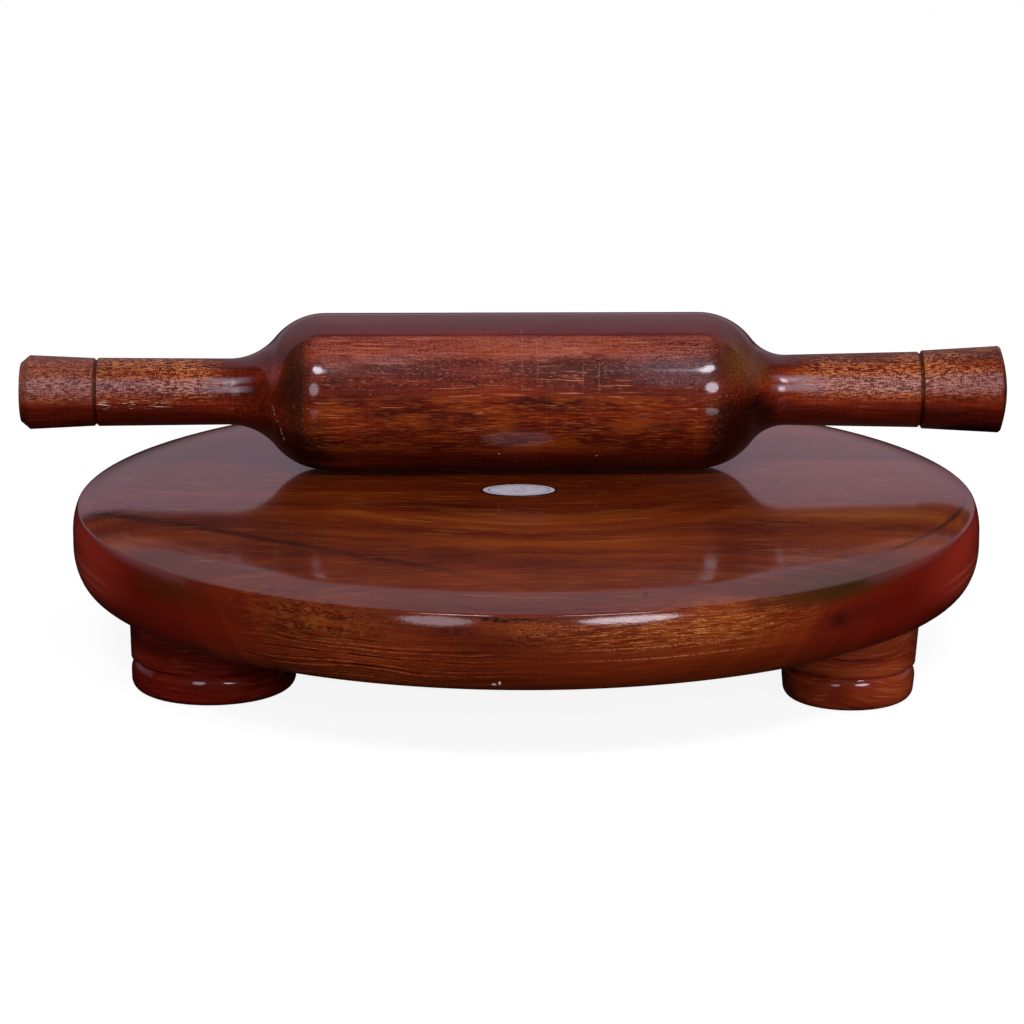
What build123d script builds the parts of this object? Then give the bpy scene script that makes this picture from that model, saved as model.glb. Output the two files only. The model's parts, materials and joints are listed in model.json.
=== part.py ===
from build123d import *
import os
from math import atan2, cos, degrees, hypot, radians, sin, tan

# Turned rolling board on three feet, with its one-piece rolling pin laid across it.
# Sizes are in millimetres. The origin is on the worktop under the board's centre, with +Z up,
# the user's side towards -Y and the pin close to the X axis.

# Board: a turned disc with a bulging edge, and a working face that falls away to its rim
board_diameter = 250.0
board_thickness = 22.4
crown_width = 19.0
crown_fall = 2.0
rim_round_width = 4.0
rim_round_height = 9.1
rim_round_sweep = 50.0
belly_round_width = 5.0
belly_round_height = 10.0

# Feet: short turned pegs, each with its own place, girth, taper and ring groove
foot_height = 22.1
foot_left_inset = 31.5
foot_left_angle = 206.0
foot_left_diameter = 44.8
foot_left_base_diameter = 44.0
foot_left_groove_up = 8.6
foot_right_inset = 25.5
foot_right_angle = 329.65
foot_right_diameter = 37.6
foot_right_base_diameter = 34.3
foot_right_groove_up = 9.4
foot_back_inset = 28.0
foot_back_angle = 90.0
foot_back_diameter = 40.0
foot_back_base_diameter = 38.4
foot_back_groove_up = 9.7
foot_base_round = 3.0
foot_groove_width = 0.8
foot_groove_depth = 0.4
foot_bead_fall = 1.0
foot_bead_height = 1.5
foot_bead_round_share = 0.9
foot_lip_round = 0.3

# Screws: one pan head wood screw up through each foot into the board
screw_bite = 14.4
screw_shank_diameter = 4.0
screw_tip_length = 5.0
screw_head_diameter = 8.0
screw_head_height = 2.6
screw_head_round = 1.2
screw_cross_width = 1.1
screw_cross_length = 4.6
screw_cross_depth = 1.6
screw_left_cross_angle = 18.0
screw_right_cross_angle = 62.0
screw_back_cross_angle = 35.0
screw_counterbore_depth = 6.5
screw_head_clearance = 1.0
screw_shank_clearance = 0.2
screw_thread_clearance = 0.03
screw_hole_spare = 1.0

# Label: a thin oval foil stuck on the working face, left blank
label_length = 21.0
label_width = 13.5
label_thickness = 0.2
label_place = (-2.0, -3.0)

# Rolling pin: barrel, an S-shaped shoulder each side, and a grooved handle each side
pin_barrel_diameter = 44.0
pin_barrel_length = 104.6
pin_groove_width = 1.3
pin_groove_depth = 0.65
pin_place = (-4.0, 24.0)
pin_yaw = 0.8
pin_rest_gap = 0.3
pin_left_reach = 138.1
pin_left_shoulder_length = 27.0
pin_left_convex_share = 0.52
pin_left_handle_diameter = 18.6
pin_left_handle_swell = 0.6
pin_left_knob_length = 21.5
pin_left_knob_diameter = 19.1
pin_left_knob_swell = 1.7
pin_left_bevel_length = 2.5
pin_left_bevel_drop = 2.1
pin_left_dome = 0.4
pin_right_reach = 139.2
pin_right_shoulder_length = 24.5
pin_right_convex_share = 0.61
pin_right_handle_diameter = 19.8
pin_right_handle_swell = 1.5
pin_right_knob_length = 24.5
pin_right_knob_diameter = 22.0
pin_right_knob_swell = 2.4
pin_right_bevel_length = 0.5
pin_right_bevel_drop = 0.4
pin_right_dome = 2.0

# Worked out from the sizes above
board_radius = board_diameter / 2
board_top = foot_height + board_thickness
screw_length = foot_height - screw_counterbore_depth + screw_bite
pin_radius = pin_barrel_diameter / 2
pin_axis_height = board_top + pin_rest_gap + pin_radius
pin_centre = (*pin_place, pin_axis_height)
pin_direction = (cos(radians(pin_yaw)), sin(radians(pin_yaw)), 0)
pin_plane = Plane(origin=pin_centre, x_dir=pin_direction, z_dir=(pin_direction[1], -pin_direction[0], 0))

foot_places = {
    "front_left": (foot_left_inset, foot_left_angle),
    "front_right": (foot_right_inset, foot_right_angle),
    "back": (foot_back_inset, foot_back_angle),
}
foot_turnings = {
    "front_left": (foot_left_diameter / 2, foot_left_base_diameter / 2, foot_left_groove_up),
    "front_right": (foot_right_diameter / 2, foot_right_base_diameter / 2, foot_right_groove_up),
    "back": (foot_back_diameter / 2, foot_back_base_diameter / 2, foot_back_groove_up),
}
screw_cross_angles = {
    "front_left": screw_left_cross_angle,
    "front_right": screw_right_cross_angle,
    "back": screw_back_cross_angle,
}
foot_centres = {
    name: ((board_radius - inset) * cos(radians(angle)), (board_radius - inset) * sin(radians(angle)))
    for name, (inset, angle) in foot_places.items()
}


def upright_plane(centre):
    """The X-Z plane through a foot's axis, at the worktop."""
    return Plane(origin=(*centre, 0), x_dir=(1, 0, 0), z_dir=(0, -1, 0))


def upright_axis(centre):
    return Axis((*centre, 0), (0, 0, 1))


def drilled_up(centre, height):
    """Where a hole starts that is drilled upwards."""
    return Location((*centre, height), (180, 0, 0))


# Board
with BuildPart() as board:
    crease_sweep = radians(rim_round_sweep)
    rim_start = board_top - crown_fall - rim_round_height * sin(crease_sweep)
    crease_radius = board_radius - rim_round_width * (1 - cos(crease_sweep))
    with BuildSketch(Plane.XZ):
        with BuildLine():
            underside = Line((0, foot_height), (board_radius - belly_round_width, foot_height))
            belly = EllipticalCenterArc(
                (board_radius - belly_round_width, foot_height + belly_round_height),
                belly_round_width,
                belly_round_height,
                start_angle=270,
                arc_size=90,
            )
            Line(belly @ 1, (board_radius, rim_start))
            rim = EllipticalCenterArc(
                (board_radius - rim_round_width, rim_start),
                rim_round_width,
                rim_round_height,
                start_angle=0,
                arc_size=rim_round_sweep,
            )
            crown = TangentArc((crease_radius - crown_width, board_top), rim @ 1, tangent=(1, 0))
            Polyline(crown @ 0, (0, board_top), underside @ 0)
        make_face()
    revolve(axis=Axis.Z)
    with Locations(*[drilled_up(centre, foot_height) for centre in foot_centres.values()]):
        Hole(screw_shank_diameter / 2 + screw_thread_clearance, depth=screw_bite + screw_hole_spare)
board.part.label = "board"

# Feet
feet = {}
for name, centre in foot_centres.items():
    top_radius, base_radius, groove_up = foot_turnings[name]
    groove_radius = base_radius + (top_radius - base_radius) * groove_up / foot_height
    bead_lip = (groove_radius - foot_bead_fall, groove_up - foot_groove_width / 2)
    bead_corner = (groove_radius, bead_lip[1] - foot_bead_height)
    bead_turn = atan2(foot_bead_fall, foot_bead_height) + atan2(groove_radius - base_radius, bead_corner[1])
    bead_run = hypot(foot_bead_fall, foot_bead_height)
    bead_round = foot_bead_round_share * bead_run / tan(bead_turn / 2)
    with BuildPart() as foot:
        with BuildSketch(upright_plane(centre)):
            with BuildLine():
                FilletPolyline(
                    (0, 0),
                    (base_radius, 0),
                    bead_corner,
                    bead_lip,
                    (bead_lip[0] - foot_groove_depth, groove_up),
                    (groove_radius, groove_up + foot_groove_width / 2),
                    (top_radius, foot_height),
                    (0, foot_height),
                    radius=[foot_base_round, bead_round, 0, 0, foot_lip_round, 0],
                )
                Line((0, foot_height), (0, 0))
            make_face()
        revolve(axis=upright_axis(centre))
        with Locations(drilled_up(centre, 0)):
            CounterBoreHole(
                screw_shank_diameter / 2 + screw_shank_clearance,
                screw_head_diameter / 2 + screw_head_clearance,
                screw_counterbore_depth,
                depth=foot_height,
            )
    foot.part.label = f"foot_{name}"
    feet[name] = foot

# Screws
screws = {}
for name, centre in foot_centres.items():
    head_low = screw_counterbore_depth - screw_head_height
    head_radius = screw_head_diameter / 2
    shank_radius = screw_shank_diameter / 2
    tip_height = screw_counterbore_depth + screw_length
    with BuildPart() as screw:
        with BuildSketch(upright_plane(centre)):
            with BuildLine():
                FilletPolyline(
                    (0, head_low),
                    (head_radius, head_low),
                    (head_radius, screw_counterbore_depth),
                    (shank_radius, screw_counterbore_depth),
                    (shank_radius, tip_height - screw_tip_length),
                    (0, tip_height),
                    radius=[screw_head_round, 0, 0, 0],
                )
                Line((0, tip_height), (0, head_low))
            make_face()
        revolve(axis=upright_axis(centre))
        with BuildSketch(Plane(origin=(*centre, head_low))):
            for turn in (0, 90):
                Rectangle(screw_cross_length, screw_cross_width, rotation=screw_cross_angles[name] + turn)
        extrude(amount=screw_cross_depth, mode=Mode.SUBTRACT)
    screw.part.label = f"foot_screw_{name}"
    screws[name] = screw

# Label
with BuildPart() as label_plate:
    with BuildSketch(Plane(origin=(*label_place, board_top))):
        Ellipse(label_length / 2, label_width / 2)
    extrude(amount=label_thickness)
label_plate.part.label = "label_plate"


def half_outline(way, reach, shoulder, share, handle, swell, knob, flare, knob_length, bevel, drop, dome):
    """Draw one half of the pin's outline, from the barrel's end to the axis; way is 1 or -1."""
    barrel_end = (way * pin_barrel_length / 2, pin_radius)
    turn = 2 * degrees(atan2(pin_radius - handle / 2, shoulder))
    both_radii = shoulder / sin(radians(turn))
    convex = JernArc(barrel_end, (way, 0), both_radii * share, -way * turn)
    concave = JernArc(convex @ 1, convex % 1, both_radii * (1 - share), way * turn)
    groove = reach - knob_length
    handle_end = (handle + swell) / 2
    knob_end = (knob + flare) / 2
    outline = Polyline(
        concave @ 1,
        (way * (groove - pin_groove_width / 2), handle_end),
        (way * groove, min(handle_end, knob / 2) - pin_groove_depth),
        (way * (groove + pin_groove_width / 2), knob / 2),
        (way * (reach - dome - bevel), knob_end),
        (way * (reach - dome), knob_end - drop),
    )
    TangentArc((way * reach, 0), outline @ 1, tangent=(0, 1))


# Rolling pin
with BuildPart() as rolling_pin:
    with BuildSketch(pin_plane):
        with BuildLine():
            half_outline(
                -1,
                pin_left_reach,
                pin_left_shoulder_length,
                pin_left_convex_share,
                pin_left_handle_diameter,
                pin_left_handle_swell,
                pin_left_knob_diameter,
                pin_left_knob_swell,
                pin_left_knob_length,
                pin_left_bevel_length,
                pin_left_bevel_drop,
                pin_left_dome,
            )
            Line((-pin_barrel_length / 2, pin_radius), (pin_barrel_length / 2, pin_radius))
            half_outline(
                1,
                pin_right_reach,
                pin_right_shoulder_length,
                pin_right_convex_share,
                pin_right_handle_diameter,
                pin_right_handle_swell,
                pin_right_knob_diameter,
                pin_right_knob_swell,
                pin_right_knob_length,
                pin_right_bevel_length,
                pin_right_bevel_drop,
                pin_right_dome,
            )
            Line((-pin_left_reach, 0), (pin_right_reach, 0))
        make_face()
    revolve(axis=Axis(pin_centre, pin_direction))
rolling_pin.part.label = "rolling_pin"

# Written pieces
os.makedirs("parts", exist_ok=True)
for piece in (board, label_plate, rolling_pin, *feet.values(), *screws.values()):
    export_step(piece.part, f"parts/{piece.part.label}.step")
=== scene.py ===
import json
from math import atan2, ceil, cos, hypot, pi, radians, sin, tan

import bpy
from mathutils import Matrix, Vector

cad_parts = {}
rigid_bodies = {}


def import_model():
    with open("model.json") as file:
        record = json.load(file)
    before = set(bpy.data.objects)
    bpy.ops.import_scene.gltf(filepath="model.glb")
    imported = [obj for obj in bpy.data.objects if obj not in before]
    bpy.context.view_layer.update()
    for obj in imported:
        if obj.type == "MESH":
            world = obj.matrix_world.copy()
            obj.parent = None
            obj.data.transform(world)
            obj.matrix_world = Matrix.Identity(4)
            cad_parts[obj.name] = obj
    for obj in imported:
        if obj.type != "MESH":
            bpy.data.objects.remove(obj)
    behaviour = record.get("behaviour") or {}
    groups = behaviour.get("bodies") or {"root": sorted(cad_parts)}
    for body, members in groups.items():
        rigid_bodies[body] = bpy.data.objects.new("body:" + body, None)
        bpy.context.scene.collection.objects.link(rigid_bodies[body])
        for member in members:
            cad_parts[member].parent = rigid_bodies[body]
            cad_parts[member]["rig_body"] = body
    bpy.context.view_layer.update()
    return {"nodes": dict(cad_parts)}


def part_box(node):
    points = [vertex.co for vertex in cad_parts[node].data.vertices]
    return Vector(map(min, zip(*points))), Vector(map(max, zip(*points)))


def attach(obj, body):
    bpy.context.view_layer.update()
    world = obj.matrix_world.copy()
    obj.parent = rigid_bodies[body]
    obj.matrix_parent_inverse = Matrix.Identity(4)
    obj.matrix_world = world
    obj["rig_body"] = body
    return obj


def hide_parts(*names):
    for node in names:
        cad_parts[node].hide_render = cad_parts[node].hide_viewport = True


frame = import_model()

# A turned sheesham rolling board on three feet, with its one-piece rolling pin laid across it.
# Sizes are written as millimetres times MM, so that Blender gets metres. In the materials, places
# and the sizes of patterns are plain millimetres from the piece's origin. Names ending in px are pixels.

MM = 0.001


def box_size(node):
    low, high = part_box(node)
    return high - low


# Sizes read from the fixed frame
board_low, board_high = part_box("board")
BOARD_RADIUS = (board_high.x - board_low.x) / 2
BOARD_UNDER = board_low.z
BOARD_TOP = board_high.z
FOOT_NAMES = ("foot_front_left", "foot_front_right", "foot_back")


# Turned outlines. Each is a list of (radius, height) points, in metres, along the lathe's axis.


def ellipse_points(centre, radii, start, end, count):
    """Points on an ellipse's arc; the angles are in degrees from the outward direction."""
    found = []
    for step in range(count + 1):
        angle = radians(start + (end - start) * step / count)
        found.append((centre[0] + radii[0] * cos(angle), centre[1] + radii[1] * sin(angle)))
    return found


def run_points(first, last, spacing):
    """Evenly spaced points from first to last, without the last."""
    length = hypot(last[0] - first[0], last[1] - first[1])
    count = max(1, ceil(length / spacing))
    return [
        (
            first[0] + (last[0] - first[0]) * step / count,
            first[1] + (last[1] - first[1]) * step / count,
        )
        for step in range(count)
    ]


def fillet_points(before, corner, after, radius, count=8):
    """Points on the round of that radius at a corner of an outline."""
    to_before = Vector(before) - Vector(corner)
    to_after = Vector(after) - Vector(corner)
    half = to_before.angle(to_after) / 2
    start = Vector(corner) + to_before.normalized() * radius / tan(half)
    middle = (to_before.normalized() + to_after.normalized()).normalized()
    centre = Vector(corner) + middle * radius / sin(half)
    arm = start - centre
    side = to_after.normalized()
    turn = pi - 2 * half
    sign = 1 if arm.x * side.y - arm.y * side.x > 0 else -1
    found = []
    for step in range(count + 1):
        angle = sign * turn * step / count
        found.append(
            (
                centre.x + arm.x * cos(angle) - arm.y * sin(angle),
                centre.y + arm.x * sin(angle) + arm.y * cos(angle),
            )
        )
    return found


def board_outline():
    """From the middle of the underside, round the bulging edge, to the middle of the crowned top."""
    belly_width, belly_height = 5.0 * MM, 10.0 * MM
    rim_width, rim_height, rim_sweep = 4.0 * MM, 9.1 * MM, 50.0
    crown_width, crown_fall = 19.0 * MM, 2.0 * MM
    worn_round = 1.0 * MM
    rim_start = BOARD_TOP - crown_fall - rim_height * sin(radians(rim_sweep))
    crease = (BOARD_RADIUS - rim_width * (1 - cos(radians(rim_sweep))), BOARD_TOP - crown_fall)
    spacing = 2.5 * MM
    outline = run_points((0, BOARD_UNDER), (BOARD_RADIUS - belly_width, BOARD_UNDER), 4 * spacing)
    belly_centre = (BOARD_RADIUS - belly_width, BOARD_UNDER + belly_height)
    outline += ellipse_points(belly_centre, (belly_width, belly_height), 270, 360, 16)
    rim_centre = (BOARD_RADIUS - rim_width, rim_start)
    rim_count = 8
    rim = ellipse_points(rim_centre, (rim_width, rim_height), 0, rim_sweep, rim_count)
    crown_count = 14
    crown = []
    for step in range(1, crown_count + 1):
        inwards = crown_width * step / crown_count
        fall = crown_fall * (1 - inwards / crown_width) ** 3
        crown.append((crease[0] - inwards, BOARD_TOP - fall))
    outline += rim[:-1] + fillet_points(rim[-2], crease, crown[0], worn_round, 12) + crown
    outline += run_points(outline[-1], (0, BOARD_TOP), spacing)[1:] + [(0, BOARD_TOP)]
    return outline


FOOT_BASE_WIDTHS = {"foot_front_left": 44.0 * MM, "foot_front_right": 34.3 * MM, "foot_back": 38.4 * MM}
FOOT_GROOVES = {"foot_front_left": 8.6 * MM, "foot_front_right": 9.4 * MM, "foot_back": 9.7 * MM}


def foot_outline(node):
    """From the screw hole at the top, down the outside over the ring groove, to the counterbore."""
    size = box_size(node)
    top_radius, height = size.x / 2, size.z
    base_radius, groove_up = FOOT_BASE_WIDTHS[node] / 2, FOOT_GROOVES[node]
    groove_half, groove_depth = 0.4 * MM, 0.4 * MM
    bead_fall, bead_height, lip_round = 1.0 * MM, 1.5 * MM, 0.3 * MM
    base_round = 3.0 * MM
    hole_radius, bore_radius, bore_depth = 2.2 * MM, 5.0 * MM, 6.5 * MM
    groove_radius = base_radius + (top_radius - base_radius) * groove_up / height
    lip = (groove_radius - bead_fall, groove_up - groove_half)
    bead = (groove_radius, lip[1] - bead_height)
    groove_top = (groove_radius, groove_up + groove_half)
    groove_foot = (lip[0] - groove_depth, groove_up)
    base = (base_radius, 0)
    bead_turn = atan2(bead_fall, bead_height) + atan2(groove_radius - base_radius, bead[1])
    bead_round = 0.9 * hypot(bead_fall, bead_height) / tan(bead_turn / 2)
    outline = [(hole_radius, height)]
    outline += run_points((top_radius, height), groove_top, 1.5 * MM)
    outline += fillet_points((top_radius, height), groove_top, groove_foot, lip_round, 4)
    outline += [groove_foot, lip]
    outline += fillet_points(lip, bead, base, bead_round)
    outline += fillet_points(bead, base, (0, 0), base_round)
    outline += [(bore_radius, 0), (bore_radius, bore_depth), (hole_radius, bore_depth)]
    return outline


PIN_RADIUS = box_size("rolling_pin").z / 2
PIN_BARREL_HALF = 52.3 * MM
PIN_GROOVE_HALF = 0.65 * MM
PIN_GROOVE_DEPTH = 0.65 * MM
PIN_YAW = 0.8
PIN_PLACE = Vector((-4.0 * MM, 24.0 * MM, 0))
PIN_LEFT = {
    "reach": 138.1 * MM,
    "shoulder": 27.0 * MM,
    "convex_share": 0.52,
    "handle": 18.6 * MM,
    "handle_swell": 0.6 * MM,
    "knob": 19.1 * MM,
    "knob_swell": 1.7 * MM,
    "knob_length": 21.5 * MM,
    "bevel": 2.5 * MM,
    "drop": 2.1 * MM,
    "dome": 0.4 * MM,
}
PIN_RIGHT = {
    "reach": 139.2 * MM,
    "shoulder": 24.5 * MM,
    "convex_share": 0.61,
    "handle": 19.8 * MM,
    "handle_swell": 1.5 * MM,
    "knob": 22.0 * MM,
    "knob_swell": 2.4 * MM,
    "knob_length": 24.5 * MM,
    "bevel": 0.5 * MM,
    "drop": 0.4 * MM,
    "dome": 2.0 * MM,
}


def pin_half(half):
    """From the end of the barrel, down the S-shaped shoulder and along the handle, to the end's middle."""
    spacing = 2.0 * MM
    handle = half["handle"] / 2
    turn = 2 * atan2(PIN_RADIUS - handle, half["shoulder"])
    radii = half["shoulder"] / sin(turn)
    convex, concave = radii * half["convex_share"], radii * (1 - half["convex_share"])
    count = 16
    outline = []
    for step in range(count + 1):
        angle = turn * step / count
        outline.append((PIN_RADIUS - convex * (1 - cos(angle)), PIN_BARREL_HALF + convex * sin(angle)))
    neck = PIN_BARREL_HALF + half["shoulder"]
    for step in range(1, count + 1):
        angle = turn * (1 - step / count)
        outline.append((handle + concave * (1 - cos(angle)), neck - concave * sin(angle)))
    groove = half["reach"] - half["knob_length"]
    handle_end = handle + half["handle_swell"] / 2
    knob = half["knob"] / 2
    knob_end = knob + half["knob_swell"] / 2
    length = half["reach"] - half["dome"]
    corners = [
        (handle, neck),
        (handle_end, groove - PIN_GROOVE_HALF),
        (min(handle_end, knob) - PIN_GROOVE_DEPTH, groove),
        (knob, groove + PIN_GROOVE_HALF),
        (knob_end, length - half["bevel"]),
        (knob_end - half["drop"], length),
    ]
    for first, last in zip(corners, corners[1:]):
        outline += run_points(first, last, spacing)[0 if first != corners[0] else 1:]
    rim = corners[-1][0]
    dome_count = 6
    for step in range(dome_count + 1):
        share = 1 - step / dome_count
        outline.append((rim * share, half["reach"] - half["dome"] * share ** 2))
    return outline


def pin_outline():
    """From the left end's middle, along the whole pin, to the right end's middle."""
    left = [(radius, -along) for radius, along in reversed(pin_half(PIN_LEFT))]
    barrel = run_points(left[-1], (PIN_RADIUS, PIN_BARREL_HALF), 2.0 * MM)[1:]
    return left + barrel + pin_half(PIN_RIGHT)


def lathe(name, outline, segments, closed=False):
    """A turned mesh about its own Z axis, from (radius, height) points."""
    verts, faces, rings = [], [], []
    for radius, height in outline:
        if radius < 1e-7:
            rings.append([len(verts)] * segments)
            verts.append((0, 0, height))
            continue
        rings.append(list(range(len(verts), len(verts) + segments)))
        for step in range(segments):
            angle = 2 * pi * step / segments
            verts.append((radius * cos(angle), radius * sin(angle), height))
    pairs = list(zip(rings, rings[1:]))
    if closed:
        pairs.append((rings[-1], rings[0]))
    for low, high in pairs:
        for step in range(segments):
            after = (step + 1) % segments
            corners = [low[step], low[after], high[after], high[step]]
            faces.append(list(dict.fromkeys(corners)))
    mesh = bpy.data.meshes.new(name)
    mesh.from_pydata(verts, [], faces)
    mesh.validate()
    mesh.update()
    return mesh


def turned_piece(name, node, mesh, place=Matrix.Identity(4), crease=30):
    """An object for a turned mesh that stands for a node of the frame."""
    mesh.shade_smooth()
    mesh.set_sharp_from_angle(angle=radians(crease))
    piece = bpy.data.objects.new(name, mesh)
    bpy.context.scene.collection.objects.link(piece)
    piece.matrix_world = place
    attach(piece, frame["nodes"][node]["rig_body"])
    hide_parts(node)
    return piece


# Materials. Colours are sRGB hex codes.


def colour(hex_code):
    """An sRGB hex code as the linear colour that a shader takes."""
    channels = [int(hex_code[place:place + 2], 16) / 255 for place in (1, 3, 5)]
    return (*[c / 12.92 if c <= 0.04045 else ((c + 0.055) / 1.055) ** 2.4 for c in channels], 1)


def add(tree, kind, settings=None, out=0, **inputs):
    """Add a node, set its settings, fill or link its inputs by name, and give back one output."""
    made = tree.nodes.new("ShaderNode" + kind)
    for name, value in (settings or {}).items():
        if name == "stops":
            ramp = made.color_ramp.elements
            ramp.remove(ramp[1])
            ramp[0].position, ramp[0].color = value[0][0], colour(value[0][1])
            for position, code in value[1:]:
                ramp.new(position).color = colour(code)
        else:
            setattr(made, name, value)
    for name, value in inputs.items():
        if name.startswith("i") and name[1:].isdigit():
            socket = made.inputs[int(name[1:])]
        else:
            socket = next(s for s in made.inputs if s.name.lower().replace(" ", "_") == name)
        if isinstance(value, bpy.types.NodeSocket):
            tree.links.new(value, socket)
        else:
            socket.default_value = value
    return made.outputs[out] if made.outputs else made


def new_material(name):
    made = bpy.data.materials.new(name)
    made.use_nodes = True
    made.node_tree.nodes.clear()
    return made, made.node_tree


def place_in_mm(tree):
    """Where a point is on its piece, in millimetres from the piece's origin."""
    place = add(tree, "TexCoord", out="Object")
    return add(tree, "VectorMath", {"operation": "SCALE"}, i0=place, scale=1 / MM)


def grain(tree, place, size, detail=2.0, roughness=0.5, out=0):
    """Noise in cells of that size; it swings either side of 0.5."""
    cells = add(tree, "Mapping", vector=place, scale=[1 / length for length in size])
    return add(tree, "TexNoise", out=out, vector=cells, scale=1.0, detail=detail, roughness=roughness)


def drifted(tree, place, size, reach):
    """The same places pushed aside by soft noise, so that grain drawn on them wanders."""
    drift = grain(tree, place, size, detail=1.0, out="Color")
    start = add(tree, "VectorMath", {"operation": "SUBTRACT"}, i0=drift, i1=(0.5, 0.5, 0.5))
    return add(tree, "VectorMath", {"operation": "MULTIPLY_ADD"}, i0=start, i1=reach, i2=place)


def where(tree, *limits):
    """1 where every limit holds, and soft at its edges.

    Each limit is a mask, or (value, where the mask is 0, where it is 1).
    """
    found = None
    for limit in limits:
        if isinstance(limit, tuple):
            soft = {"interpolation_type": "SMOOTHSTEP"}
            limit = add(tree, "MapRange", soft, value=limit[0], from_min=limit[1], from_max=limit[2])
        if found is not None:
            limit = add(tree, "Math", {"operation": "MULTIPLY"}, i0=found, i1=limit)
        found = limit
    return found


def off_lines(tree, value, *lines):
    """How far a value is from the nearest of those lines."""
    nearest = None
    for line in lines:
        away = add(tree, "Math", {"operation": "SUBTRACT"}, i0=value, i1=line)
        away = add(tree, "Math", {"operation": "ABSOLUTE"}, i0=away)
        if nearest is not None:
            away = add(tree, "Math", {"operation": "MINIMUM"}, i0=away, i1=nearest)
        nearest = away
    return nearest


def weigh(tree, middle, parts):
    """Add patterns to a middle tone, each as (pattern, what it swings about, weight)."""
    total = middle - sum(rest * weight for _, rest, weight in parts)
    for pattern, _, weight in parts:
        total = add(tree, "Math", {"operation": "MULTIPLY_ADD"}, i0=pattern, i1=weight, i2=total)
    return total


def lay(tree, under, layers):
    """Lay colours over a colour, each as (mask, strength, hex code)."""
    for mask, strength, code in layers:
        amount = add(tree, "Math", {"operation": "MULTIPLY", "use_clamp": True}, i0=mask, i1=strength)
        under = add(tree, "Mix", {"data_type": "RGBA"}, out=2, factor=amount, i6=under, i7=colour(code))
    return under


def patch(tree, place, centre, reach):
    """A soft spot: 1 at its centre and 0 from its reach outwards."""
    away = add(tree, "Mapping", {"vector_type": "TEXTURE"}, vector=place, location=centre, scale=reach)
    return where(tree, (add(tree, "VectorMath", {"operation": "LENGTH"}, out="Value", i0=away), 1, 0))


def vein(tree, place, start, end, width, bow=0.0, fades=(0.15, 0.15)):
    """A soft streak across the board's face; bow is how far its middle bends, in widths."""
    run = Vector(end) - Vector(start)
    along = add(
        tree,
        "Mapping",
        {"vector_type": "TEXTURE"},
        vector=place,
        location=(*start, 0),
        rotation=(0, 0, atan2(run.y, run.x)),
        scale=(run.length, width, 1),
    )
    run_share, aside = add(tree, "SeparateXYZ", vector=along).node.outputs[:2]
    left_over = add(tree, "Math", {"operation": "SUBTRACT"}, i0=1, i1=run_share)
    bend = add(tree, "Math", {"operation": "MULTIPLY"}, i0=run_share, i1=left_over)
    aside = add(tree, "Math", {"operation": "MULTIPLY_ADD"}, i0=bend, i1=-4 * bow, i2=aside)
    return where(tree, (off_lines(tree, aside, 0), 1, 0), (run_share, 0, fades[0]), (left_over, 0, fades[1]))


def varnished(tree, base, wood_normal, coat_normal, roughness, shine, coat_roughness, coat=1.0):
    """Wood under clear varnish: the coat mirrors the room, and the wood below it is nearly matt."""
    shader = add(
        tree,
        "BsdfPrincipled",
        base_color=base,
        roughness=roughness,
        specular_ior_level=shine,
        coat_weight=coat,
        coat_roughness=coat_roughness,
        coat_ior=1.5,
        normal=wood_normal,
        coat_normal=coat_normal,
    )
    add(tree, "OutputMaterial", surface=shader)


BOARD_TONES = [
    (0.0, "#230702"),
    (0.3, "#4e1504"),
    (0.5, "#6a2306"),
    (0.68, "#86370b"),
    (1.0, "#b56524"),
]


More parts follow.
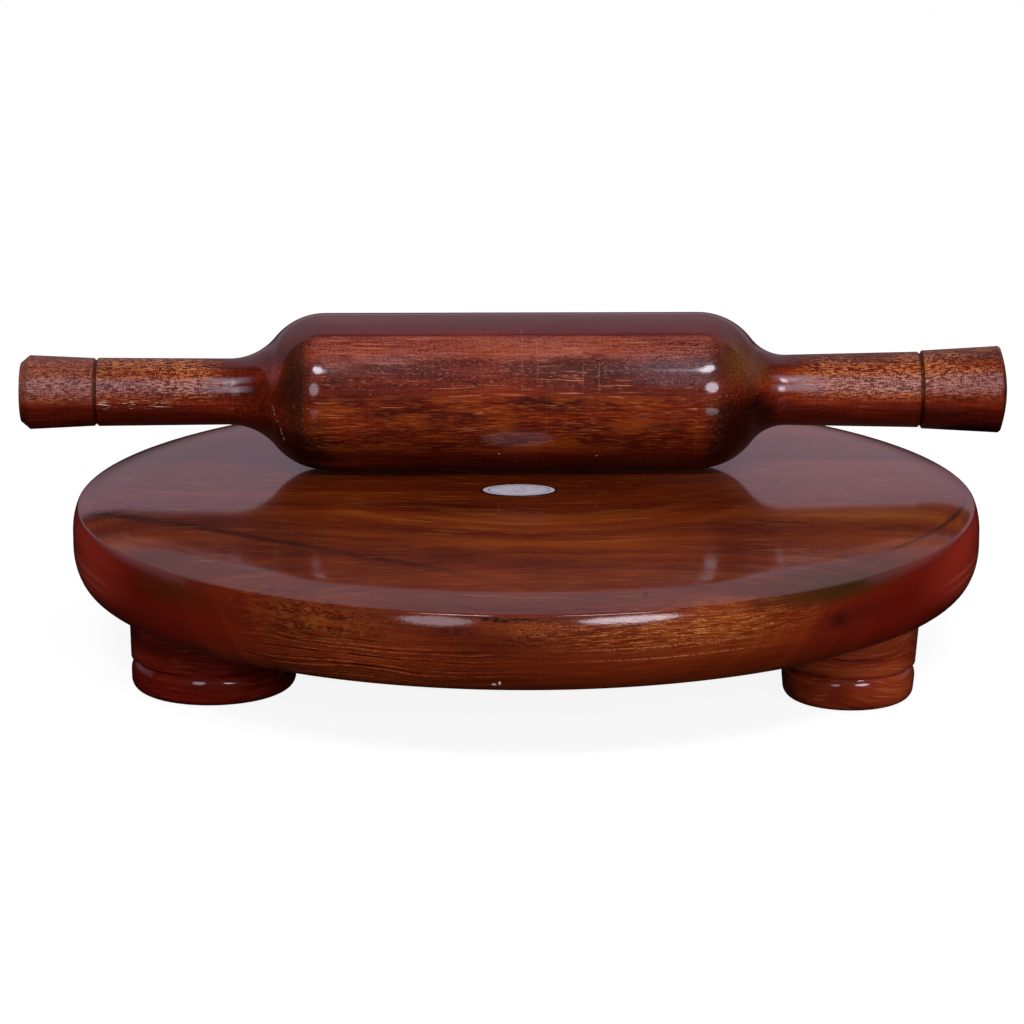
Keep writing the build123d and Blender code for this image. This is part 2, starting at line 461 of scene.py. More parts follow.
def board_sheesham():
    """Flat-sawn sheesham, dyed and flow-coated: wandering rings, fine fibres and a mirror-like face."""
    made, tree = new_material("gloss varnished sheesham, flat-sawn")
    place = place_in_mm(tree)
    bent = drifted(tree, place, (120, 60, 60), (0, 40, 24))
    wavy = drifted(tree, place, (22, 16, 16), (0, 5, 5))
    level_place = add(tree, "Mapping", vector=place, scale=(1, 1, 0))
    from_axis = add(tree, "VectorMath", {"operation": "LENGTH"}, out="Value", i0=level_place)
    height = add(tree, "SeparateXYZ", out="Z", vector=place)
    edge_middle = 33.3
    from_edge_middle = off_lines(tree, height, edge_middle)
    flat = where(tree, (from_edge_middle, 10.2, 10.9))

    # Growth rings about a pith behind and below, and the swirl that they make before the label
    from_pith = add(tree, "Mapping", vector=bent, location=(0, -35, 40), scale=(0, 1, 1))
    ring = add(tree, "VectorMath", {"operation": "LENGTH"}, out="Value", i0=from_pith)
    rings = add(tree, "TexNoise", {"noise_dimensions": "1D"}, w=ring, scale=1 / 8, detail=3.0)
    from_swirl = add(tree, "Mapping", vector=wavy, location=(-4, -22, 0), scale=(0.95, 1, 0))
    swirl = add(tree, "VectorMath", {"operation": "LENGTH"}, out="Value", i0=from_swirl)
    swirls = add(tree, "TexNoise", {"noise_dimensions": "1D"}, w=swirl, scale=1 / 9, detail=2.0)
    in_swirl = patch(tree, place, (4, -40, 40), (95, 62, 40))
    swirled = add(tree, "Math", {"operation": "SUBTRACT"}, i0=swirls, i1=0.5)
    swirled = where(tree, swirled, in_swirl)
    broad = grain(tree, bent, (75, 30, 26), detail=2)

    # Fibres are fine across the flat faces, and level streaks round the edge
    face_fibres = grain(tree, bent, (18, 1.2, 30), detail=3, roughness=0.62)
    layered = drifted(tree, place, (34, 34, 9), (0, 0, 3.4))
    edge_fibres = grain(tree, layered, (17, 17, 0.5), detail=3, roughness=0.62)
    fibres = add(tree, "Mix", {"data_type": "FLOAT"}, factor=flat, i2=edge_fibres, i3=face_fibres)

    # Lighter and darker areas of the face and of the front edge: place, reach, change of tone
    areas = [
        ((28, -45, 44), (55, 30, 12), 0.08),
        ((-57, -38, 44), (34, 16, 12), 0.12),
        ((90, -30, 44), (50, 40, 12), 0.26),
        ((-25, -22, 44), (22, 14, 12), -0.16),
        ((10, -98, 44), (70, 14, 8), 0.04),
        ((40, -118, 39), (60, 30, 7), 0.12),
        ((60, -108, 26), (60, 40, 6), -0.14),
        ((0, -124, 40), (22, 14, 4), 0.10),
        ((-95, -80, 34), (50, 40, 16), -0.12),
        ((-20, -122, 25), (120, 60, 6), -0.06),
    ]
    toned = [(patch(tree, place, centre, reach), 0, weight) for centre, reach, weight in areas]
    tone = weigh(
        tree,
        0.5,
        [(broad, 0.5, 0.5), (rings, 0.5, 0.4), (swirled, 0, 0.55), (fibres, 0.5, 0.45)] + toned,
    )
    wood = add(tree, "ValToRGB", {"stops": BOARD_TONES}, fac=tone)

    # The face is painted paler behind the pin on both sides, a painted reflection that adds to the haze
    # that the varnish mirrors there. It has a dark heart streak, softer bands, bright fibres, open pores and
    # a fissure
    heart = vein(tree, wavy, (-126, -20), (12, -112), 3.4, 0.5, (0.08, 0.4))
    heart_haze = vein(tree, wavy, (-122, -22), (40, -112), 13, 0.4, (0.1, 0.4))
    soft_band = vein(tree, wavy, (-34, -80), (56, -92), 8, 0.4)
    bright_band = vein(tree, wavy, (-70, -44), (52, -66), 5.5, -0.6)
    valley_band = vein(tree, wavy, (-34, -16), (52, -12), 5, -3.6)
    fissure = vein(tree, place, (57, -35), (78, -39.4), 0.9, -0.4, (0.3, 0.3))
    pores = where(tree, (grain(tree, bent, (5, 0.5, 30), detail=2), 0.36, 0.28), flat)
    bright = where(tree, (grain(tree, bent, (12, 0.9, 30), detail=2), 0.58, 0.72), flat)
    wood = lay(
        tree,
        wood,
        [
            (patch(tree, place, (-86, 62, 44), (100, 66, 12)), 0.7, "#74382a"),
            (patch(tree, place, (98, 52, 44), (96, 80, 12)), 1.0, "#9c5442"),
            (heart_haze, 0.35, "#43120a"),
            (soft_band, 0.45, "#471510"),
            (heart, 0.85, "#260806"),
            (bright_band, 0.3, "#a0500f"),
            (valley_band, 0.35, "#94480f"),
            (pores, 0.4, "#2f0b04"),
            (bright, 0.4, "#b8702e"),
            (fissure, 0.95, "#1a0503"),
        ],
    )

    # Round the edge: dashes in level rows on the right, a curly cracked figure on the left
    edge = where(tree, (from_edge_middle, 10.9, 10.2))
    dashes = where(tree, (grain(tree, layered, (5, 5, 0.26), detail=2), 0.48, 0.6))
    grit = where(tree, (grain(tree, place, (0.7, 0.7, 0.3), detail=2), 0.44, 0.58))
    dark_rows = where(tree, (grain(tree, layered, (11, 11, 0.36), detail=2), 0.46, 0.34))
    right_rows = patch(tree, place, (42, -116, 37.5), (64, 34, 7.5))
    left_rows = patch(tree, place, (-42, -116, 29), (60, 36, 11))
    sunk = drifted(tree, place, (60, 60, 20), (0, 0, 1.6))
    level = add(tree, "SeparateXYZ", out="Z", vector=sunk)
    long_rows = where(tree, (off_lines(tree, level, 30.8, 33.6), 0.2, 0.07), (grit, 0.0, 0.6))
    curly = drifted(tree, place, (3, 3, 1.6), (1.2, 1.2, 1.5))
    curls = off_lines(tree, grain(tree, curly, (2.6, 2.4, 0.52), detail=4, roughness=0.6), 0.5)
    clusters = grain(tree, place, (10, 10, 1.3), detail=2)
    cracked_levels = where(tree, (off_lines(tree, level, 34.6, 40.8), 2.4, 0.8))
    banded = weigh(tree, 0.5, [(clusters, 0.5, 1.0), (cracked_levels, 0.4, 0.24)])
    cracks = where(tree, (curls, 0.05, 0.014), (banded, 0.38, 0.52))
    cracked = patch(tree, place, (-54, -111, 38), (40, 34, 9))
    ladder = drifted(tree, layered, (14, 14, 6), (0, 0, 0.9))
    rung = add(tree, "SeparateXYZ", out="Z", vector=ladder)
    rungs = add(tree, "TexNoise", {"noise_dimensions": "1D"}, w=rung, scale=1 / 0.62, detail=2.0)
    worn_rungs = where(tree, (grain(tree, layered, (4, 4, 0.4), detail=2), 0.36, 0.56), left_rows, edge)
    rubbed = where(tree, (grain(tree, curly, (3.0, 3.0, 0.8), detail=3), 0.42, 0.62), cracked)
    ragged = drifted(tree, place, (3, 3, 3), (0, 0, 1.4))
    lip_crack = where(
        tree,
        patch(tree, ragged, (-6, -124, 41.3), (19, 9, 1.1)),
        (grain(tree, curly, (2, 2, 0.5), detail=2), 0.4, 0.6),
    )
    stain = where(
        tree,
        patch(tree, ragged, (-18, -122, 38), (11, 8, 2.6)),
        (grain(tree, curly, (1.8, 1.8, 0.5), detail=2), 0.38, 0.56),
    )
    specks = where(tree, patch(tree, place, (2, -124, 39), (16, 8, 3)), grit)
    wood = lay(
        tree,
        wood,
        [
            (where(tree, dark_rows, right_rows, edge), 0.5, "#3a1106"),
            (where(tree, dashes, right_rows, edge), 0.6, "#b05c22"),
            (where(tree, dashes, grit, right_rows, edge), 0.7, "#cc8a48"),
            (where(tree, long_rows, patch(tree, place, (38, -118, 32), (40, 30, 9)), edge), 0.6, "#c98a5c"),
            (where(tree, (rungs, 0.5, 0.4), worn_rungs), 1.0, "#2a0904"),
            (where(tree, (rungs, 0.5, 0.62), (grit, -0.3, 0.7), worn_rungs), 1.1, "#ac5228"),
            (where(tree, rubbed, edge), 0.5, "#8e4f22"),
            (where(tree, cracks, cracked, edge), 1.05, "#180602"),
            (stain, 0.75, "#2a0b0c"),
            (lip_crack, 1.3, "#1d0806"),
            (specks, 0.35, "#b0682f"),
        ],
    )
    # Pin knots on the face, and two pale chips low on the front edge
    for spot in ((70, 8), (69, 37), (-100, 15), (30, -110)):
        wood = lay(tree, wood, [(patch(tree, place, (*spot, 44), (1.1, 1.5, 4)), 1.6, "#1a0606")])
    for chip, reach in (((-8, -124, 24.4), (0.9, 3, 0.5)), ((-6.6, -124, 24.8), (0.5, 3, 0.8))):
        wood = lay(tree, wood, [(patch(tree, place, chip, reach), 2.0, "#e8cfc0")])

    # End grain drinks more dye, so both ends of the board turn red, with umber where it was handled.
    # Painted shade: a dark line inside the right rim stands for a crease where the edge has been
    # rubbed off its round, which the round outline does not have
    endways = off_lines(tree, add(tree, "SeparateXYZ", vector=add(tree, "NewGeometry", out="Normal")), 0)
    umber_right = patch(tree, place, (80, -94, 41.4), (40, 40, 5))
    umber_left = patch(tree, place, (-92, -84, 39), (26, 30, 7))
    from_wear = add(tree, "Mapping", vector=place, location=(10, -14.6, 0), scale=(1, 1, 0))
    from_wear = add(tree, "VectorMath", {"operation": "LENGTH"}, out="Value", i0=from_wear)
    crease_shade_line = where(
        tree,
        (off_lines(tree, from_wear, 132.8), 0.9, 0.3),
        (add(tree, "SeparateXYZ", vector=place), 86, 98),
        (add(tree, "SeparateXYZ", out="Y", vector=place), -4, -12),
        (height, 40, 42),
    )
    # Pale level rows across both ends are painted reflections off the bulging edge
    painted_end_reflections = where(tree, (off_lines(tree, level, 27.4, 30.0, 32.6), 0.8, 0.2), (endways, 0.86, 0.96))
    wood = lay(
        tree,
        wood,
        [
            (where(tree, (endways, 0.42, 0.78)), 0.85, "#741104"),
            (where(tree, (endways, 0.8, 0.96)), 0.85, "#c83a24"),
            (umber_left, 0.7, "#442008"),
            (umber_right, 0.95, "#382409"),
            (patch(tree, place, (86, -90, 34), (24, 28, 6)), 0.4, "#3c120e"),
            (painted_end_reflections, 0.75, "#c8604e"),
            (patch(tree, place, (79.5, -95, 33.5), (4.5, 8, 4)), 0.75, "#2a0a08"),
            (crease_shade_line, 0.7, "#2a100c"),
        ],
    )

    # The varnish has sagged a little as it flowed out, and it bridges the open pores
    sag = grain(tree, place, (26, 18, 12), detail=1)
    peel = where(tree, grain(tree, place, (0.8, 0.8, 0.4), detail=2), edge)
    brushed = where(tree, grain(tree, place, (0.7, 0.7, 0.7), detail=2), (from_axis, 98, 108), flat)
    varnish = weigh(tree, 0.5, [(sag, 0.5, 0.5), (peel, 0, 0.5), (brushed, 0, 0.22)])
    coat_normal = add(tree, "Bump", strength=1.0, distance=0.04 * MM, height=varnish)
    wood_normal = add(tree, "Bump", strength=0.6, distance=0.04 * MM, height=fibres)

    # The rim's varnish is duller near both ends of the front, where it was handled
    dulled_left = patch(tree, place, (-94, -82, 38.8), (32, 36, 3.4))
    dulled_right = patch(tree, place, (84, -92, 38.8), (36, 40, 3.4))
    coat = weigh(tree, 1.0, [(dulled_left, 0, -0.9), (dulled_right, 0, -0.9)])
    varnished(
        tree, wood, wood_normal, coat_normal, roughness=0.45, shine=0.08, coat_roughness=0.09, coat=coat
    )
    return made


PIN_TONES = [
    (0.0, "#280703"),
    (0.32, "#5a1606"),
    (0.5, "#7c2509"),
    (0.7, "#9a3f10"),
    (1.0, "#c0702e"),
]


def pin_sheesham():
    """Sheesham turned between centres and varnished, then worn by use: pores and turning rings show."""
    made, tree = new_material("worn varnished sheesham, turned")
    straight = (0, 0, -radians(PIN_YAW))
    place = add(tree, "Mapping", vector=place_in_mm(tree), rotation=straight)
    along, outwards, up = add(tree, "SeparateXYZ", vector=place).node.outputs[:3]
    towards_user = add(tree, "Math", {"operation": "MULTIPLY"}, i0=outwards, i1=-1)
    round_place = add(tree, "Math", {"operation": "ARCTAN2"}, i0=up, i1=towards_user)
    from_middle = off_lines(tree, along, 0)
    barrel = where(tree, (from_middle, 62, 50))
    handle = where(tree, (from_middle, 72, 84))
    shoulder = where(tree, (from_middle, 52, 60), (from_middle, 84, 72))

    # round_place is the angle round the pin in radians: 0 faces the user, and it grows upwards
    broad = grain(tree, place, (60, 9, 9), detail=2)
    fibres = grain(tree, place, (15, 0.6, 0.6), detail=3, roughness=0.6)
    turning = add(tree, "TexNoise", {"noise_dimensions": "1D"}, w=along, scale=1 / 0.7, detail=2.0)

    # Worn places: the barrel's upper front, and the tops of both handles
    patches = where(tree, (grain(tree, place, (38, 12, 12), detail=2), 0.4, 0.62))
    ragged = weigh(tree, 0, [(round_place, 0, 1), (grain(tree, place, (14, 5, 5), detail=3), 0.5, 0.5)])
    worn_front = where(tree, (ragged, 0.5, 0.72), (round_place, 1.0, 0.95))
    worn_barrel = where(tree, worn_front, barrel, weigh(tree, 0.65, [(patches, 0, 0.35)]))
    held = where(tree, (up, -2.5, 2.5))
    right_grip = where(tree, (along, 0, 1))
    worn_grip = weigh(tree, 0.4, [(patches, 0, 0.6), (right_grip, 0, -0.16)])
    worn_handle = where(tree, held, (from_middle, 76, 92), worn_grip)
    elsewhere = where(tree, (grain(tree, place, (50, 16, 16)), 0.55, 0.75), barrel)
    unworn_top = where(tree, (round_place, 0.93, 1.0), (round_place, 3.0, 2.2))
    # Painted shade: the pin's underside, and the undersides of its grips and right knob, are darkened below
    underneath = where(tree, (up, -3, -14))
    shaded_grip_underneath = where(tree, (up, -0.5, -5.5), handle)
    lower_front = where(tree, (round_place, -0.8, -0.5), (round_place, 0.24, 0.06), barrel)
    smoky = where(tree, (along, -6, 14), (round_place, -0.1, 0.1), (ragged, 0.76, 0.6), barrel)
    smoky_band = where(tree, (ragged, 0.28, 0.4), (ragged, 0.66, 0.54), barrel)
    tone = weigh(
        tree,
        0.5,
        [
            (broad, 0.5, 0.9),
            (fibres, 0.5, 0.78),
            (turning, 0.5, 0.22),
            (shoulder, 0, -0.18),
            (unworn_top, 0, -0.2),
            (underneath, 0, -0.24),
            (shaded_grip_underneath, 0, -0.2),
            (where(tree, shaded_grip_underneath, (along, 112, 116)), 0, -0.14),
            (lower_front, 0, -0.06),
            # Painted shade low under the right shoulder
            (where(tree, (along, 52, 58), (along, 76, 68), (up, 5, -4)), 0, -0.42),
            (where(tree, smoky, weigh(tree, 0.6, [(patches, 0, 0.4)])), 0, -0.26),
            (smoky_band, 0, -0.12),
        ],
    )
    wood = add(tree, "ValToRGB", {"stops": PIN_TONES}, fac=tone)

    # Wear on the barrel is speckled and lined; on the handles it is woven from dashes both ways
    speckle = where(tree, (grain(tree, place, (0.9, 0.3, 0.3), detail=3, roughness=0.65), 0.4, 0.58))
    hair = grain(tree, place, (5, 0.26, 0.26), detail=3, roughness=0.6)
    stipple = grain(tree, place, (0.5, 0.3, 0.3), detail=2)
    hairlines = where(tree, (weigh(tree, 0.5, [(hair, 0.5, 0.7), (stipple, 0.5, 0.7)]), 0.42, 0.6))
    mottled = where(tree, (round_place, 0.16, 0.3), (round_place, 0.74, 0.6), barrel)
    dark_cells = grain(tree, place, (0.9, 0.5, 0.5), detail=3, roughness=0.65)
    dark_specks = where(tree, (dark_cells, 0.52, 0.38), mottled)
    tan_specks = where(tree, (grain(tree, place, (1.4, 0.3, 0.3), detail=2), 0.58, 0.7), mottled)
    cross_dashes = grain(tree, place, (0.34, 0.8, 0.8), detail=1)
    long_dashes = grain(tree, place, (1.8, 0.28, 0.28), detail=1)
    woven = weigh(tree, 0.5, [(cross_dashes, 0.5, 0.6), (long_dashes, 0.5, 1.0)])
    streaks = where(tree, (grain(tree, place, (4, 0.32, 0.32), detail=2), 0.57, 0.67))
    left_knob = where(tree, (along, -113.5, -116.5))
    rubbed = where(tree, (woven, 0.5, 0.64))
    gaps = where(tree, (woven, 0.52, 0.4), handle, (held, 0.1, 0.6))

    # A lilac band along both handles and two bars at each neck are painted highlights, standing for the
    # lamps' light as scuffed varnish spreads it. Both are drawn in the wood's colour, so they stay in place
    # as the pin moves
    painted_gloss_band = where(tree, handle, (round_place, 0.14, 0.24), (round_place, 0.64, 0.5))
    painted_neck_highlights = where(
        tree,
        (off_lines(tree, round_place, 0.28, 0.54), 0.13, 0.04),
        (from_middle, 71, 76),
        (from_middle, 91, 79),
    )
    dark_dashes = where(
        tree,
        (grain(tree, place, (3.4, 0.34, 0.34), detail=2), 0.38, 0.3),
        (round_place, 1.0, 0.9),
    )

    # Low on the barrel's front, and small nicks under the left handle
    amber = where(tree, lower_front, (grain(tree, place, (16, 4, 4), detail=3), 0.48, 0.64))
    amber_lines = where(tree, lower_front, (grain(tree, place, (4, 0.34, 0.34), detail=2), 0.52, 0.66))
    dark_lines = where(tree, lower_front, (grain(tree, place, (5, 0.5, 0.5), detail=3), 0.46, 0.34))
    nicks = where(
        tree,
        (grain(tree, place, (3.4, 0.24, 0.24), detail=1), 0.62, 0.67),
        (along, -118, -114),
        (along, -92, -98),
        (round_place, -0.36, -0.26),
        (round_place, 0, -0.1),
    )

    # A pale bloom where the varnish is scuffed, towards the barrel's right end, with a painted sheen of
    # the lamps' light in it, drawn the same way
    bloom = where(
        tree,
        (along, 26, 44),
        (along, 56, 52),
        (ragged, 0.24, 0.36),
        (ragged, 0.7, 0.56),
        (grain(tree, place, (0.36, 0.3, 0.3), detail=1), 0.4, 0.6),
    )

    # Fine scratches along the barrel, which drift a little, and six across it, each given as its
    # place along the pin, its lower and upper ends round it, and its strength
    slanting = drifted(tree, place, (40, 14, 14), (0, 3, 3))
    long_scratches = where(
        tree,
        (grain(tree, slanting, (20, 0.34, 0.34), detail=1), 0.67, 0.72),
        (grain(tree, place, (34, 7, 7)), 0.42, 0.56),
        (round_place, -0.45, -0.2),
        (round_place, 1.0, 0.95),
        barrel,
    )
    short_scratches = where(
        tree,
        (grain(tree, slanting, (6.5, 0.3, 0.3), detail=1), 0.69, 0.75),
        (grain(tree, place, (22, 9, 9)), 0.46, 0.6),
        (round_place, -0.6, -0.3),
        (round_place, 1.0, 0.95),
        (from_middle, 112, 106),
    )
    wobbly = weigh(tree, 0, [(along, 0, 1), (grain(tree, place, (60, 9, 9)), 0.5, 2.2)])
    cross_scratches = [
        (2.8, 0.24, 1.1, 0.36),
        (7.1, 0.24, 0.9, 0.18),
        (11.4, 0.2, 0.85, 0.12),
        (19.6, 0.2, 0.55, 0.26),
        (24.0, 0.22, 0.55, 0.28),
        (42.1, 0.2, 0.6, 0.15),
    ]
    broken = grain(tree, place, (3, 2.4, 2.4), detail=2)
    soft_end = 0.08
    across = []
    for line, low, high, strength in cross_scratches:
        on_line = (off_lines(tree, wobbly, line), 0.15, 0.05)
        above_low = (round_place, low - soft_end, low + soft_end)
        below_high = (round_place, high + soft_end, high - soft_end)
        scratch = where(tree, on_line, above_low, below_high, (broken, 0.36, 0.5))
        across.append((scratch, strength, "#b58a78"))
    fleck_place = add(tree, "Mapping", vector=place, scale=(1 / 9, 1 / 6, 1 / 6))
    fleck = add(tree, "TexVoronoi", vector=fleck_place, scale=1.0)
    cell_tint = add(tree, "TexVoronoi", out="Color", vector=fleck_place, scale=1.0)
    chosen = add(tree, "SeparateXYZ", vector=cell_tint)
    flecks = where(
        tree,
        (fleck, 0.04, 0.024),
        (chosen, 0.45, 0.5),
        (from_middle, 76, 70),
        (round_place, 1.0, 0.95),
    )

    # A dent down the left shoulder, an umber band beside it, painted shade low under that shoulder,
    # and tan speckle on the right shoulder
    slant = weigh(tree, 66.95, [(along, 0, 1), (up, 0, 0.347), (grain(tree, place, (2, 2, 2)), 0.5, 1.6)])
    dent = where(
        tree,
        (off_lines(tree, slant, 0), 0.15, 0.05),
        (up, -11.2, -10.2),
        (up, -0.4, -1.2),
        (towards_user, 4, 8),
        (grain(tree, place, (1, 1, 0.9)), 0.42, 0.52),
    )
    umber_band = where(
        tree,
        (along, -66.5, -61),
        (along, -56.6, -58.6),
        (round_place, -0.7, -0.2),
        (round_place, 0.98, 0.8),
    )
    low_shoulder_shade = where(tree, (along, -63, -58), (along, -45, -54), (up, 1, -9))
    tan_shoulder = where(
        tree,
        (off_lines(tree, along, 65), 9, 2),
        (round_place, 0.1, 0.6),
        (round_place, 1.2, 0.8),
    )
    grooves = off_lines(
        tree,
        along,
        (PIN_LEFT["knob_length"] - PIN_LEFT["reach"]) / MM,
        (PIN_RIGHT["reach"] - PIN_RIGHT["knob_length"]) / MM,
    )
    wood = lay(
        tree,
        wood,
        [
            # Along the pin's top, a tone that stands in for part of the reflection the varnish shows there
            (where(tree, (round_place, 0.93, 1.02)), 0.75, "#5e1f17"),
            (umber_band, 0.7, "#20150a"),
            (low_shoulder_shade, 0.8, "#120604"),
            (amber, 0.5, "#9c4410"),
            (amber_lines, 0.5, "#b0561e"),
            (dark_lines, 0.7, "#36100a"),
            (dark_specks, 0.8, "#35100a"),
            (tan_specks, 0.8, "#ae6448"),
            (tan_shoulder, 0.4, "#4e3410"),
            (where(tree, elsewhere, speckle), 0.35, "#a04a24"),
            (where(tree, tan_shoulder, speckle), 0.4, "#8a5a2a"),
            (where(tree, worn_barrel, hairlines), 0.85, "#a96458"),
            (where(tree, worn_handle, rubbed), 0.9, "#da8650"),
            (where(tree, held, left_knob), 0.6, "#7e3a2c"),
            (where(tree, held, left_knob, hairlines), 0.6, "#b06c58"),
            (where(tree, worn_handle, streaks), 0.8, "#e09058"),
            (gaps, 0.7, "#3e1009"),
            (where(tree, painted_gloss_band, (woven, 0.44, 0.56)), 0.38, "#85676c"),
            (painted_neck_highlights, 0.4, "#a08890"),
            (nicks, 0.95, "#f0cdb0"),
            (bloom, 0.45, "#7e6870"),
            (dark_dashes, 0.5, "#2e0b05"),
            (long_scratches, 0.75, "#d98258"),
            (short_scratches, 0.65, "#d07e58"),
            *across,
            (flecks, 0.9, "#ecdcd0"),
            (dent, 0.7, "#d8c2b2"),
            (where(tree, (grooves, 0.8, 0.4)), 0.6, "#260a06"),
        ],
    )

    # Wear has dulled the varnish in fine ridges, so the lamps break up and spread on it
    sag = grain(tree, place, (9, 5, 5), detail=1)
    ridges = grain(tree, place, (0.5, 0.34, 0.34), detail=2)
    ridged = where(tree, weigh(tree, 0.5, [(woven, 0.5, 1.0), (ridges, 0.5, 1.6)]), handle, (held, -0.6, 0.6))
    rubbed_barrel = where(tree, speckle, worn_barrel)
    relief = weigh(
        tree,
        0.5,
        [(sag, 0.5, 0.16), (ridges, 0.5, 0.16), (ridged, 0, 1.1), (rubbed_barrel, 0, 0.25)],
    )
    coat_normal = add(tree, "Bump", strength=1.0, distance=0.05 * MM, height=relief)
    wood_normal = add(tree, "Bump", strength=0.7, distance=0.04 * MM, height=fibres)

    # Places where the varnish has worn thin, with how much of its coat is gone
    thin_varnish = [
        (where(tree, handle, (up, 2, 6)), 0, -0.75),
        (where(tree, gaps, painted_gloss_band), 0, -0.85),
        (where(tree, (from_middle, 72, 76), (round_place, 0.06, 0)), 0, -0.85),
        (
            where(tree, (from_middle, 44, 48), (from_middle, 76, 72), (round_place, -0.12, -0.2)),
            0,
            -0.85,
        ),
        (where(tree, barrel, (round_place, -0.2, -0.36)), 0, -0.35),
        (
            where(
                tree,
                (along, 61, 65),
                (along, 76, 71),
                (round_place, 0.2, 0.5),
                (round_place, 1.25, 1.0),
            ),
            0,
            -0.6,
        ),
    ]
    least_coat = 0.06
    coat = weigh(tree, 1.0, thin_varnish)
    coat = add(tree, "Math", {"operation": "MAXIMUM"}, i0=coat, i1=least_coat)
    varnished(
        tree, wood, wood_normal, coat_normal, roughness=0.38, shine=0.12, coat_roughness=0.09, coat=coat
    )
    return made


def foot_sheesham(name, stops, turn, wander):
    """Sheesham pegs turned from board ends: the grain lies level and curves round the peg.

    Turn is the grain's heading in degrees, and wander is how far it rises and falls, in millimetres.
    """
    made, tree = new_material(f"gloss varnished sheesham, {name}")
    place = add(tree, "Mapping", vector=place_in_mm(tree), rotation=(0, 0, radians(turn)))
    bent = drifted(tree, place, (34, 30, 16), (0, 0, wander))
    broad = grain(tree, bent, (40, 14, 6), detail=2)
    fibres = grain(tree, bent, (14, 6.0, 0.5), detail=3, roughness=0.6)
    dark_lines = where(tree, (grain(tree, bent, (30, 12, 1.4), detail=1), 0.34, 0.26))
    bright = where(tree, (grain(tree, bent, (8, 5, 0.4), detail=2), 0.58, 0.7))
    tone = weigh(tree, 0.5, [(broad, 0.5, 0.8), (fibres, 0.5, 0.55)])
    wood = add(tree, "ValToRGB", {"stops": stops}, fac=tone)
    wood = lay(tree, wood, [(dark_lines, 0.7, "#220603"), (bright, 0.35, stops[-1][1])])
    sag = grain(tree, place, (5, 5, 3), detail=1)
    coat_normal = add(tree, "Bump", strength=1.0, distance=0.02 * MM, height=sag)
    wood_normal = add(tree, "Bump", strength=0.6, distance=0.04 * MM, height=fibres)
    varnished(tree, wood, wood_normal, coat_normal, roughness=0.45, shine=0.1, coat_roughness=0.08)
    return made


def zinc_plated_steel():
    """Pressed screws, bright zinc plated: a cool grey metal with a faint cloudy bloom."""
    made, tree = new_material("zinc-plated steel")
    place = place_in_mm(tree)
    bloom = grain(tree, place, (1.6, 1.6, 1.6), detail=3)
    tint = add(tree, "ValToRGB", {"stops": [(0.3, "#8d8c86"), (0.7, "#c4c3bb")]}, fac=bloom)
    dull = add(tree, "MapRange", value=bloom, to_min=0.28, to_max=0.5)
    ridges = add(tree, "Bump", strength=0.5, distance=0.02 * MM, height=bloom)
    shader = add(tree, "BsdfPrincipled", base_color=tint, metallic=1.0, roughness=dull, normal=ridges)
    add(tree, "OutputMaterial", surface=shader)
    return made


def label_foil():
    """A blank oval of silver foil: pale and half matt, with a ruled line and a dark cut edge."""
    made, tree = new_material("satin aluminium foil")
    low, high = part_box("label_plate")
    centre, half = (low + high) / 2 / MM, (high - low) / 2 / MM
    place = place_in_mm(tree)
    oval = add(
        tree,
        "Mapping",
        {"vector_type": "TEXTURE"},
        vector=place,
        location=(centre.x, centre.y, 0),
        scale=(half.x, half.y, 1e6),
    )
    share = add(tree, "VectorMath", {"operation": "LENGTH"}, out="Value", i0=oval)
    mottle = grain(tree, place, (0.9, 0.9, 0.9), detail=2)
    foil = add(tree, "ValToRGB", {"stops": [(0.35, "#dbd5e2"), (0.65, "#f8f5fc")]}, fac=mottle)
    foil = lay(
        tree,
        foil,
        [
            (where(tree, (off_lines(tree, share, 0.8), 0.035, 0.015)), 0.6, "#6d6468"),
            (where(tree, (share, 0.93, 0.96)), 1.0, "#1c0d0c"),
        ],
    )
    shader = add(tree, "BsdfPrincipled", base_color=foil, metallic=0.2, roughness=0.45)
    add(tree, "OutputMaterial", surface=shader)
    return made


def dress(piece, material):
    piece.data.materials.clear()
    piece.data.materials.append(material)


# Board, feet and pin
board = turned_piece("board_turned", "board", lathe("board_turned", board_outline(), segments=360))
dress(board, board_sheesham())

FOOT_WOODS = {
    "foot_front_left": foot_sheesham(
        "front left foot",
        [(0.0, "#2a0502"), (0.5, "#701104"), (0.75, "#94280f"), (1.0, "#b85a2a")],
        turn=20,
        wander=6,
    ),
    "foot_front_right": foot_sheesham(
        "front right foot",
        [(0.0, "#340a04"), (0.45, "#8a2c12"), (0.7, "#ab4a22"), (1.0, "#cf804a")],
        turn=-28,
        wander=14,
    ),
    "foot_back": foot_sheesham(
        "back foot",
        [(0.0, "#2c0704"), (0.5, "#76200c"), (0.75, "#983c18"), (1.0, "#bd6e3a")],
        turn=5,
        wander=9,
    ),
}
for node in FOOT_NAMES:
    low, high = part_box(node)
    centre = (low + high) / 2
    foot = turned_piece(
        f"{node}_turned",
        node,
        lathe(f"{node}_turned", foot_outline(node), segments=160, closed=True),
        Matrix.Translation((centre.x, centre.y, 0)),
    )
    dress(foot, FOOT_WOODS[node])

